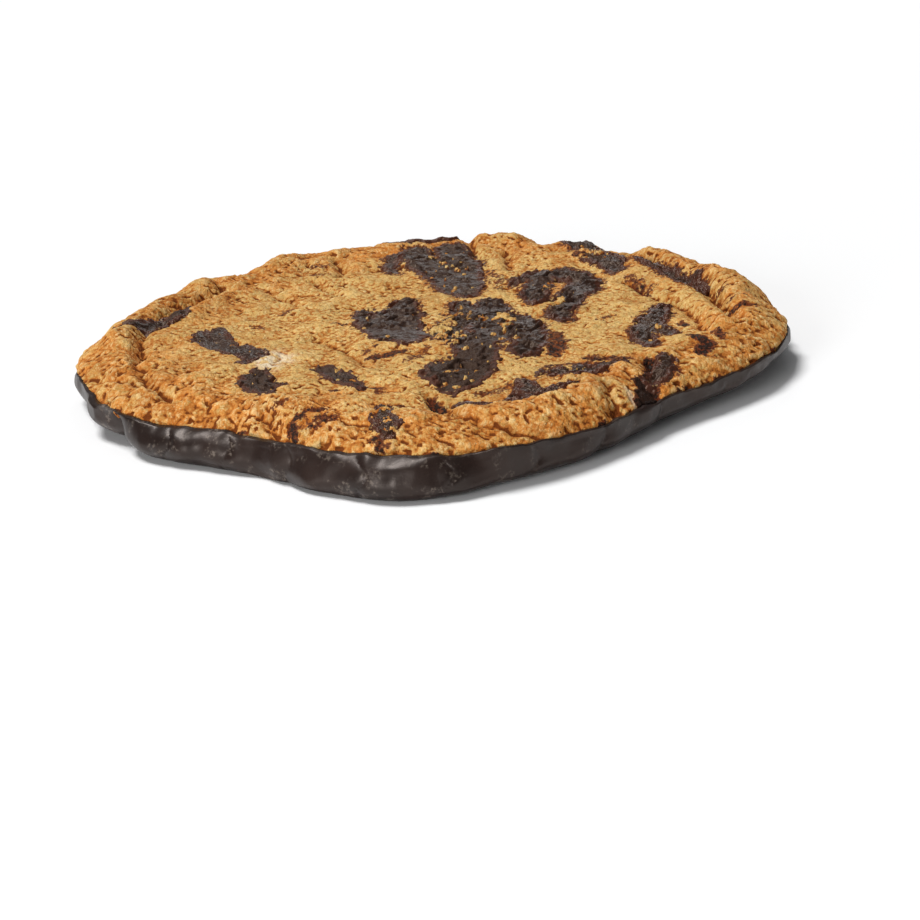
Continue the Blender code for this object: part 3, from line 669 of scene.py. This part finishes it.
def baked_crust():
    """Blond to orange crust of small crumbs, stained by cocoa round the chunks, with painted shade
    darkening its crevices and a painted highlight on the crumbs' tops.
    """
    mix = Mixing("baked_crust")
    medium, broad = mix.speckle(2.0, 3.0), mix.speckle(9.0)
    patches = mix.speckle(4.0, 4.0, 0.6)
    warp = mix.rise(patches, 0.34, 0.66, -0.42, 0.42)
    warp = mix.maths("ADD", warp, mix.rise(broad, 0.3, 0.7, -0.22, 0.22))
    colour = mix.blend(mix.rise(mix.maths("ADD", mix.painted("bake"), warp), 0.0, 1.0), BLOND, ORANGE)
    colour = mix.blend(mix.rise(medium, 0.49, 0.66, 0.0, 0.70), colour, OLIVE)
    browned = mix.rise(mix.speckle(5.0, 4.0, 0.65), 0.50, 0.66)
    browned = mix.maths("MULTIPLY", browned, mix.rise(mix.painted("bake"), 0.25, 0.80))
    colour = mix.blend(mix.maths("MULTIPLY", browned, 0.62), colour, TOFFEE_AND_CREVICE_SHADE)
    colour = mix.blend(mix.rise(mix.speckle(6.0, 4.0, 0.65), 0.50, 0.66, 0.0, 0.50), colour, OCHRE)
    mix.draw_out(1.35)
    dust, fine = mix.speckle(0.32, 3.0, 0.6), mix.speckle(0.7, 3.0, 0.6)
    near, own = mix.cells(0.80)
    small, small_own = mix.cells(0.42)
    tint = mix.rise(own, 0.0, 1.0, -0.45, 0.45)
    tint = mix.maths("ADD", tint, mix.rise(small_own, 0.0, 1.0, -0.35, 0.35))
    tint = mix.maths("ADD", tint, mix.rise(dust, 0.35, 0.65, -0.40, 0.40))
    colour = mix.blend(mix.rise(tint, 0.10, 0.9, 0.0, 0.60), colour, SUGAR_AND_HIGHLIGHT)
    colour = mix.blend(mix.rise(tint, -0.10, -0.9, 0.0, 0.75), colour, TOFFEE_AND_CREVICE_SHADE)
    # Painted shade: the crevice mask from the mesh, with the crumbs' cell edges, darkens the colour towards
    # the bottom of each crevice
    crevice_shade = mix.maths("ADD", mix.painted("hollow"), mix.rise(near, 0.25, 0.80, -0.12, 0.34))
    crevice_shade = mix.maths("ADD", crevice_shade, mix.rise(fine, 0.3, 0.7, 0.22, -0.22))
    # Painted highlight on the crumbs' tops, then painted shade in the crevices: warm brown, and near black
    # at the bottom
    colour = mix.blend(mix.rise(crevice_shade, -0.20, -0.95, 0.0, 0.42), colour, SUGAR_AND_HIGHLIGHT)
    colour = mix.blend(mix.rise(crevice_shade, 0.08, 0.52, 0.0, 0.85), colour, TOFFEE_AND_CREVICE_SHADE)
    colour = mix.blend(mix.rise(crevice_shade, 0.52, 1.10, 0.0, 0.95), colour, PAINTED_CREVICE_SHADE)
    shade = mix.rise(mix.speckle(13.0, 3.0, 0.6), 0.36, 0.62, 0.0, 0.30)
    colour = mix.blend(shade, colour, BROAD_SHADE, "MULTIPLY")
    flakes = mix.maths("MULTIPLY", mix.painted("pale"), mix.rise(medium, 0.42, 0.52, 0.15, 1.0))
    colour = mix.blend(flakes, colour, DRY_FLAKE)
    stain = mix.maths("ADD", mix.painted("stain"), mix.rise(fine, 0.3, 0.7, -0.30, 0.30))
    stain = mix.maths("ADD", stain, mix.rise(near, 0.2, 0.7, 0.10, -0.10))
    colour = mix.blend(mix.rise(stain, 0.34, 0.52, 0.0, 0.93), colour, COCOA_RED)
    colour = mix.blend(mix.rise(stain, 0.64, 0.92), colour, COCOA_BLACK)
    roughness = mix.rise(stain, 0.95, 1.25, mix.rise(crevice_shade, 0.0, 0.6, 0.74, 0.92), 0.40)
    mix.shader.inputs["Specular IOR Level"].default_value = 0.15
    bumps = mix.bump(mix.maths("SUBTRACT", 1.0, near), 0.30, 0.7)
    bumps = mix.bump(mix.maths("SUBTRACT", 1.0, small), 0.16, 0.7, bumps)
    return mix.finish(colour, roughness, mix.bump(fine, 0.30, 0.7, bumps))


def make_dough():
    points = [np.array([[0.0, 0.0, 0.0]])]
    triangles = []
    inner, outer = 0, 1
    for k in range(1, PLATEAU_RINGS + 1):
        direction = np.arange(6 * k) * 60.0 / k
        radius = (edge_radius(direction) - SHOULDER_WIDTH) * k / PLATEAU_RINGS
        points.append(ring_at(direction, radius, 0 * radius))
        triangles.append(ring_triangles(k, inner, outer))
        inner, outer = outer, outer + 6 * k
    direction = np.arange(SECTORS) * 360.0 / SECTORS
    for k in range(1, SHOULDER_RINGS + 1):
        radius = edge_radius(direction) - SHOULDER_WIDTH * (1 - math.sin(math.pi / 2 * k / SHOULDER_RINGS))
        points.append(ring_at(direction, radius, 0 * radius))
        triangles.append(band_triangles(inner, outer, SECTORS))
        inner, outer = outer, outer + SECTORS
    top = np.vstack(points)
    x, y = top[:, 0].copy(), top[:, 1].copy()
    shore, relief, rough = pool_depth(x, y), crumb_relief(x, y), roughness_of_crust(x, y)
    steep = outwardness(x, y)
    crumbs = standing_crumbs(x, y)
    hollow = HOLLOW_DEPTH * step(shore, -0.5, 1.4) * (1 - crumbs) - 0.45 * crumbs * step(shore, 0.0, 1.0)
    relief = relief - crack_depth(x, y)
    cavities = cavity(x, y) / CAVITY_DEPTH
    height = crust_height(x, y) + relief * np.sqrt(1 - 0.75 * steep**2) - hollow
    around_edge = np.degrees(np.arctan2(y, x)) % 360
    bulge = around(around_edge, OVERHANG, OVERHANG_LOBES) * step(steep, 0.55, 0.93)
    bulge *= 1 - step(steep, 0.985, 1.0)
    push = np.clip(relief, -0.8, 0.3) * steep**2 * (1 - step(steep, 0.97, 1.0)) + bulge
    direction_all = np.arctan2(y, x)
    top[:, 0] = x + np.cos(direction_all) * push + 0.22 * rough * noise(x, y, 1.3, 64)
    top[:, 1] = y + np.sin(direction_all) * push + 0.22 * rough * noise(x, y, 1.3, 65)
    top[:, 2] = height
    last = top[-SECTORS:]
    rings = [top]
    for depth, inset in TUCKED_RINGS:
        ring = last.copy()
        ring[:, :2] *= 1 - inset / EDGE_RADIUS
        ring[:, 2] = np.maximum(last[:, 2] - depth, UNDERSIDE_HEIGHT)
        rings.append(ring)
        triangles.append(band_triangles(inner, outer, SECTORS))
        inner, outer = outer, outer + SECTORS
    rings.append(np.array([[0.0, 0.0, UNDERSIDE_HEIGHT]]))
    j = np.arange(SECTORS)
    middle = np.full(SECTORS, outer)
    triangles.append(np.column_stack([middle, inner + j, inner + (j + 1) % SECTORS]))
    points, faces = np.vstack(rings), np.vstack(triangles)
    dough = add_piece("baked_dough", points, faces, baked_crust(), ["dough"])
    below = len(dough.data.vertices) - len(x)
    bake = 0.05 + 0.62 * step(np.hypot(x, y) / edge_radius(np.degrees(direction_all) % 360), 0.62, 0.92)
    bake += spread(x, y, BROWNER) + 0.22 * noise(x, y, 16, 66) + 0.15 * noise(x, y, 5, 67)
    # Painted shade: the crumb's crevices and low parts, found from the mesh, are stored here so the crust's
    # colour is darkened there, and its crumbs' tops painted lighter
    crevice_shade = cavities * (0.70 + 0.4 * rough) + 0.35 * np.clip(-relief - 0.1, -0.3, 0.8) / (0.3 + 0.5 * rough)
    layers = {"bake": bake, "hollow": crevice_shade, "stain": stain_strength(x, y), "pale": spread(x, y, PALE)}
    for name, values in layers.items():
        paint(dough, name, np.concatenate([values, np.full(below, values[-1])]))


make_dough()


# The melted chunks
# Chopped dark chocolate that melted in the oven and set again in shallow pools, level with the crust.
# It is dull satin and finely wrinkled, with a ragged shore and crumbs stuck to it.
POOL_STEP = 0.30
POOL_MARGIN = 1.2
GRID_MARGIN = 2.5
POOL_DARK = (0.026, 0.0095, 0.0050)
POOL_LIGHT = (0.036, 0.0155, 0.0090)
POOL_SHORE = (0.070, 0.0175, 0.008)
CRUMB_DARK = (0.20, 0.10, 0.035)
CRUMB_LIGHT = (0.42, 0.26, 0.11)
# Which way each pool's wrinkles run; the rest run along +X
WRINKLES = {
    "chunk_left_rim": 25,
    "chunk_left_stroke": -55,
    "chunk_left_foot": 75,
    "chunk_small_stroke": -60,
    "chunk_middle": 35,
    "chunk_back_wedge": -12,
    "chunk_right_top": 40,
    "chunk_back_right": -60,
    "chunk_fold_right": -65,
    "chunk_right_leaf": 70,
    "chunk_front_right": 50,
    "chunk_front_spot": -80,
}
# Calm parts without wrinkles: (share, reach, points)
CALM = (
    (0.8, 4.5, ((-8, -3), (-4, -7))),
    (0.7, 7.0, ((-42, -3), (-36, -10))),
    (0.5, 6.0, ((3, 40), (7, 30))),
    (0.8, 6.0, ((-8, 65.5), (7, 66))),
)
# Where the chocolate is dusty and duller: (share, reach, points)
DULL = (
    (1.0, 9.0, ((9, -24), (3, -40))),
    (0.6, 6.0, ((-33, -24), (-32, -36))),
    (0.6, 8.0, ((-18, -25), (-14, -36))),
)
POOL_THICKNESS = 2.0
POOL_LEVEL = -0.02
# Extra height in millimetres where a chunk lies on a fold or in a deep groove
POOL_LIFT = {"chunk_back_rim": 0.85, "chunk_groove": 0.35}


def set_chocolate():
    """Dark chocolate that melted and set in the dough: satin, wrinkled and dusted with crumbs."""
    mix = Mixing("melted_chunk")
    fine, wrinkle, cloud = mix.speckle(0.5, 3.0), mix.speckle(1.6, 3.0, 0.6), mix.speckle(7.0, 2.0)
    colour = mix.blend(mix.rise(cloud, 0.35, 0.65), POOL_DARK, POOL_LIGHT)
    edge = mix.maths("ADD", mix.painted("edge"), mix.rise(fine, 0.3, 0.7, -0.3, 0.3))
    colour = mix.blend(mix.rise(edge, 0.2, 0.9, 0.0, 0.9), colour, POOL_SHORE)
    near, own = mix.cells(0.7)
    own_share = mix.maths("ADD", mix.rise(cloud, 0.3, 0.7, -0.10, 0.06), mix.painted("dusting"))
    chosen = mix.rise(own, own_share, mix.maths("ADD", own_share, 0.02), 1.0, 0.0)
    crumb = mix.maths("MULTIPLY", mix.rise(near, 0.34, 0.42, 1.0, 0.0), chosen)
    colour = mix.blend(crumb, colour, mix.blend(fine, CRUMB_DARK, CRUMB_LIGHT))
    dullness = mix.rise(mix.painted("dull"), 0.0, 1.0, 0.0, 0.30)
    roughness = mix.maths("ADD", mix.rise(cloud, 0.3, 0.7, 0.28, 0.42), dullness)
    mix.shader.inputs["Specular IOR Level"].default_value = 0.44
    mix.shader.inputs["Specular Tint"].default_value = (1.0, 0.80, 0.64, 1.0)
    bumps = mix.bump(wrinkle, 1.0, 0.8)
    bumps = mix.bump(fine, 0.25, 0.7, bumps)
    return mix.finish(colour, roughness, mix.bump(crumb, 0.25, 0.8, bumps))


def close_below(points, triangles, floor):
    """Adds a level underside and upright sides to a patch of triangles that face up."""
    count = len(points)
    edges = np.vstack([triangles[:, [0, 1]], triangles[:, [1, 2]], triangles[:, [2, 0]]])
    codes = edges[:, 0].astype(np.int64) * count + edges[:, 1]
    back = edges[:, 1].astype(np.int64) * count + edges[:, 0]
    rim = edges[~np.isin(codes, back)]
    a, b = rim[:, 0], rim[:, 1]
    sides = np.vstack([np.column_stack([b, a, count + a]), np.column_stack([b, count + a, count + b])])
    under = points.copy()
    under[:, 2] = floor
    return np.vstack([points, under]), np.vstack([triangles, count + triangles[:, ::-1], sides])


def make_pool(name, strokes, material):
    discs = np.array([disc for stroke in strokes for disc in stroke], float)
    low = (discs[:, :2] - discs[:, 2:]).min(axis=0) - GRID_MARGIN
    high = (discs[:, :2] + discs[:, 2:]).max(axis=0) + GRID_MARGIN
    xs, ys = np.arange(low[0], high[0], POOL_STEP), np.arange(low[1], high[1], POOL_STEP)
    x, y = (grid.ravel() for grid in np.meshgrid(xs, ys))
    shore = within(x, y, strokes)
    for cell, amount, seed in CHUNK_RAGGED:
        shore += amount * noise(x, y, cell, seed)
    index = np.arange(len(x)).reshape(len(ys), len(xs))
    a, b = index[:-1, :-1].ravel(), index[:-1, 1:].ravel()
    c, d = index[1:, 1:].ravel(), index[1:, :-1].ravel()
    triangles = np.vstack([np.column_stack([a, b, c]), np.column_stack([a, c, d])])
    triangles = triangles[(shore[triangles] > -POOL_MARGIN).all(axis=1)]
    used, triangles = np.unique(triangles, return_inverse=True)
    triangles = triangles.reshape(-1, 3)
    x, y, shore = x[used], y[used], shore[used]
    turn = math.radians(WRINKLES.get(name, 0))
    u, v = x + 1.5 * noise(x, y, 4.0, 72), y + 1.5 * noise(x, y, 4.0, 71)
    along, across = u * math.cos(turn) + v * math.sin(turn), v * math.cos(turn) - u * math.sin(turn)
    folds = 1 - 2.2 * np.abs(noise(along / 2.6, across, 1.5, 73))
    folds += 0.8 * noise(along / 2.0, across, 0.9, 74)
    calm = (1 - np.clip(spread(x, y, CALM), 0, 0.9)) * (0.45 + 0.75 * step(noise(x, y, 5.0, 93), -0.4, 0.4))
    relief = 0.50 * folds * calm + 0.12 * noise(x, y, 0.9, 75) + 0.25 * noise(x, y, 3.6, 79) - 0.1
    sink = 1.0 * step(-shore, 0.1, POOL_MARGIN)
    crumbed = 0.3 * np.clip(spread(x, y, CRUMBED), 0, 1)
    z = crust_height(x, y) + POOL_LEVEL + POOL_LIFT.get(name, 0) + relief - sink - crumbed
    points, faces = close_below(np.column_stack([x, y, z]), triangles, z.min() - POOL_THICKNESS)
    pool = add_piece("melted_" + name, points, faces, material, [name])
    dusting = 0.02 + 0.16 * step(-shore, -1.6, 0.0)
    edge = 1 - step(shore, 0.0, 1.5)
    paint(pool, "dusting", np.concatenate([dusting, dusting]))
    paint(pool, "edge", np.concatenate([edge, edge]))
    dull = spread(x, y, DULL)
    paint(pool, "dull", np.concatenate([dull, dull]))


chunk_finish = set_chocolate()
for chunk_name, chunk_strokes in CHUNKS.items():
    make_pool(chunk_name, chunk_strokes, chunk_finish)


# The dip
# A coat of tempered dark chocolate: the baked cookie is set base down in it and lifted out, so it
# runs under the cookie and up its edge to an uneven lip, thin at the top and thick at the foot.
BELLY_HEIGHT = 3.0
BELLY_LOBES = ((190, 22, 3.0), (340, 30, 1.9), (172, 13, -1.9), (12, 16, -1.0))
# How far the underside's flat part ends inside the belly
FOOT_INSET = 4.5
FOOT_LOBES = (
    (184, 12, 5.0),
    (204, 12, 5.0),
    (222, 12, -0.5),
    (240, 10, -2.0),
    (262, 12, -1.9),
    (284, 12, 1.7),
    (302, 12, 1.6),
    (325, 18, 7.4),
    (352, 18, 12.5),
    (12, 16, 7.0),
)
LIP_THICKNESS = 0.45
# Between the dough's edge and the inside of the coat at its lip
LIP_GAP = 0.35
COAT_INSIDE_INSET = 6
COAT_INSIDE_HEIGHT = 1.9
# The rolled lip, as steps outwards and upwards from its crest
LIP_ROLL = ((-0.25, 0.12), (-0.6, 0.14), (-1.0, 0.0), (-2.2, -0.5))
# Where the coat was rubbed and has bloomed: (direction, half width, strength)
SCUFF_LOBES = ((236, 20, 1.0), (268, 12, 0.6), (300, 8, 0.5), (206, 8, 0.8))
COAT_DARK = (0.008, 0.0032, 0.0022)
COAT_LIGHT = (0.017, 0.0075, 0.0052)
COAT_BLOOM = (0.20, 0.16, 0.13)
# How far the base curls up towards the edge instead of rounding over
CURL_LOBES = ((355, 24, 0.75),)
# Where two runs of chocolate met and left a fold: (direction, half width, depth)
COAT_CREASES = (
    (209, 1.2, 0.9),
    (222, 0.6, 0.5),
    (233, 0.5, 0.35),
    (246, 0.8, 0.5),
    (259, 0.5, 0.45),
    (271, 0.5, 0.40),
    (284, 0.7, 0.45),
    (297, 0.8, 0.55),
    (311, 0.6, 0.45),
    (326, 0.7, 0.40),
    (20, 0.6, 0.4),
    (63, 0.7, 0.5),
    (98, 0.6, 0.45),
    (141, 0.7, 0.5),
)
DIP_SECTORS = 960
LOWER_RINGS = 22
UPPER_RINGS = 26
UNDER_RINGS = 10


def tempered_chocolate():
    """The dip's set chocolate: nearly black, smooth and softly shining, with a few pale scuffs."""
    mix = Mixing("chocolate_coat")
    fine, cloud, streak = mix.speckle(0.5, 2.0), mix.speckle(10.0, 3.0), mix.speckle(3.0, 4.0, 0.65)
    colour = mix.blend(mix.rise(cloud, 0.3, 0.7), COAT_DARK, COAT_LIGHT)
    mix.shader.inputs["Specular IOR Level"].default_value = 0.46
    mix.shader.inputs["Specular Tint"].default_value = (1.0, 0.87, 0.80, 1.0)
    rubbed = mix.rise(mix.speckle(0.8, 4.0, 0.7), 0.46, 0.60)
    scuff = mix.maths("MULTIPLY", mix.rise(streak, 0.52, 0.66), rubbed)
    scuff = mix.maths("MULTIPLY", scuff, mix.painted("scuffed"))
    colour = mix.blend(mix.maths("MULTIPLY", scuff, 0.60), colour, COAT_BLOOM)
    roughness = mix.rise(cloud, 0.3, 0.7, 0.35, 0.43)
    bumps = mix.bump(mix.speckle(9.0, 1.5), 3.0, 0.8)
    bumps = mix.bump(streak, 0.20, 0.35, bumps)
    return mix.finish(colour, roughness, mix.bump(fine, 0.03, 0.35, bumps))


def skin(direction, up, cell, seed):
    """Noise over the dip's side that joins up all the way round."""
    turn = np.radians(direction)
    return noise((70 + up) * np.cos(turn) + 300, (70 + up) * np.sin(turn) + 300, cell, seed)


def make_dip():
    direction = np.arange(DIP_SECTORS) * 360.0 / DIP_SECTORS
    edge, belly = edge_radius(direction), belly_radius(direction)
    waist = around(direction, BELLY_HEIGHT, BELLY_LOBES)
    inset, curl = around(direction, FOOT_INSET, FOOT_LOBES), around(direction, 0, CURL_LOBES)
    base_lip = lip_height(direction)
    lip = base_lip + 0.45 * skin(direction, 0, 4.5, 81) + 0.12 * skin(direction, 0, 1.9, 82)
    lip_out = edge + LIP_GAP + LIP_THICKNESS
    rings = []
    for k in range(1, UNDER_RINGS + 1):
        rings.append(ring_at(direction, (belly - inset) * k / UNDER_RINGS, 0 * lip))
    for k in range(1, LOWER_RINGS + 1):
        turn = math.pi / 2 * k / LOWER_RINGS
        up = (1 - curl) * (1 - math.cos(turn)) + curl * math.sin(turn)
        rings.append(ring_at(direction, belly - inset * (1 - math.sin(turn)), waist * up))
    for k in range(1, UPPER_RINGS + 1):
        turn = math.pi / 2 * k / UPPER_RINGS
        over = lip_out + (belly - lip_out) * (0.4 * math.cos(turn) + 0.6 * (1 - math.sin(turn) ** 1.5))
        rings.append(ring_at(direction, over, waist + (lip - waist) * math.sin(turn)))
    for k in range(UNDER_RINGS, len(rings)):
        ring = rings[k]
        share = np.clip((k - UNDER_RINGS) / 12, 0, 1) * np.clip((len(rings) - k) / 14, 0.25, 1)
        lump = 0.95 * skin(direction, ring[:, 2], 17, 83) + 0.55 * skin(direction, ring[:, 2], 8, 84)
        lump += 0.06 * skin(direction, ring[:, 2], 3.5, 85)
        for centre, half_width, depth in COAT_CREASES:
            away = np.abs((direction - centre + 0.8 * np.sin(ring[:, 2]) + 180) % 360 - 180)
            lump -= depth * np.exp(-away / half_width)
        radius = np.hypot(ring[:, 0], ring[:, 1]) + share * lump
        rings[k] = ring_at(direction, np.minimum(radius, belly + 0.6), ring[:, 2])
    rolled = rings[-1]
    roll_radius = np.hypot(rolled[:, 0], rolled[:, 1])
    for out, up in LIP_ROLL:
        rings.append(ring_at(direction, roll_radius + out, lip + up))
    rings.append(ring_at(direction, edge - COAT_INSIDE_INSET, COAT_INSIDE_HEIGHT + 2.2 * curl))
    points = np.vstack([np.zeros((1, 3)), *rings, np.array([[0.0, 0.0, COAT_INSIDE_HEIGHT]])])
    j = np.arange(DIP_SECTORS)
    following = (j + 1) % DIP_SECTORS
    triangles = [np.column_stack([0 * j, 1 + following, 1 + j])]
    for k in range(len(rings) - 1):
        triangles.append(band_triangles(1 + (k + 1) * DIP_SECTORS, 1 + k * DIP_SECTORS, DIP_SECTORS))
    last = 1 + (len(rings) - 1) * DIP_SECTORS
    triangles.append(np.column_stack([last + j, last + following, np.full(DIP_SECTORS, len(points) - 1)]))
    faces, coat = np.vstack(triangles), tempered_chocolate()
    dip = add_piece("chocolate_coat", points, faces, coat, ["chocolate_dip"])
    angle = np.degrees(np.arctan2(points[:, 1], points[:, 0])) % 360
    paint(dip, "scuffed", around(angle, 0.15, SCUFF_LOBES))


make_dip()


# The floor, the light and the camera
# A pale table under a broad soft light from above and two weaker lamps. The camera looks low over
# the front edge, from a little under half a metre away, and is tilted slightly.
CAMERA_PLACE = (0.0, -425.33, 134.81)
CAMERA_AIM = (3.78, -52.51, 0.0)
CAMERA_ROLL = -4.065
LENS = 86.23
FLOOR_REACH = 4.0
FLOOR_COLOUR = (0.95, 0.95, 0.95, 1.0)
ROOM_COLOUR = (0.96, 0.98, 1.0, 1.0)
ROOM_LIGHT = 0.16


def make_floor():
    mesh = bpy.data.meshes.new("floor")
    corners = [(FLOOR_REACH * x, FLOOR_REACH * y, 0) for x, y in ((-1, -1), (1, -1), (1, 1), (-1, 1))]
    mesh.from_pydata(corners, [], [(0, 1, 2, 3)])
    floor = bpy.data.objects.new("floor", mesh)
    bpy.context.scene.collection.objects.link(floor)
    material = bpy.data.materials.new("pale_floor")
    material.use_nodes = True
    shader = material.node_tree.nodes["Principled BSDF"]
    shader.inputs["Base Color"].default_value = FLOOR_COLOUR
    shader.inputs["Roughness"].default_value = 0.9
    mesh.materials.append(material)


def make_lamp(name, place, aim, size, power):
    lamp = bpy.data.lights.new(name, "AREA")
    lamp.shape = "DISK"
    lamp.size = size
    lamp.energy = power
    holder = bpy.data.objects.new(name, lamp)
    holder.location = place
    holder.rotation_euler = (Vector(aim) - Vector(place)).to_track_quat("-Z", "Y").to_euler()
    bpy.context.scene.collection.objects.link(holder)


def make_sun(towards, width, strength):
    lamp = bpy.data.lights.new("overhead_light", "SUN")
    lamp.angle = math.radians(width)
    lamp.energy = strength
    holder = bpy.data.objects.new("overhead_light", lamp)
    holder.rotation_euler = Vector(towards).to_track_quat("Z", "Y").to_euler()
    bpy.context.scene.collection.objects.link(holder)


def make_camera():
    place = Vector(CAMERA_PLACE) - Vector((MIDDLE_X, MIDDLE_Y, 0))
    aim = Vector(CAMERA_AIM) - Vector((MIDDLE_X, MIDDLE_Y, 0))
    ahead = (aim - place).normalized()
    right = ahead.cross(Vector((0, 0, 1))).normalized()
    up = right.cross(ahead)
    roll = math.radians(CAMERA_ROLL)
    right, up = right * math.cos(roll) + up * math.sin(roll), up * math.cos(roll) - right * math.sin(roll)
    lens = bpy.data.cameras.new("camera")
    lens.lens = LENS
    lens.clip_start = 0.01
    camera = bpy.data.objects.new("camera", lens)
    camera.matrix_world = Matrix.Translation(place * MM) @ Matrix((right, up, -ahead)).transposed().to_4x4()
    bpy.context.scene.collection.objects.link(camera)
    bpy.context.scene.camera = camera


make_floor()
make_sun((-0.34, 0.08, 0.92), 24, 2.70)
make_lamp("front_lamp", (-0.50, -0.82, 0.25), (0, 0, 0), 0.42, 4.8)
make_lamp("back_lamp", (0.10, 0.88, 0.34), (0, 0, 0), 0.30, 0.65)
make_camera()
world = bpy.data.worlds.new("room")
world.use_nodes = True
world.node_tree.nodes["Background"].inputs["Color"].default_value = ROOM_COLOUR
world.node_tree.nodes["Background"].inputs["Strength"].default_value = ROOM_LIGHT
bpy.context.scene.world = world
bpy.context.scene.view_settings.view_transform = "Standard"
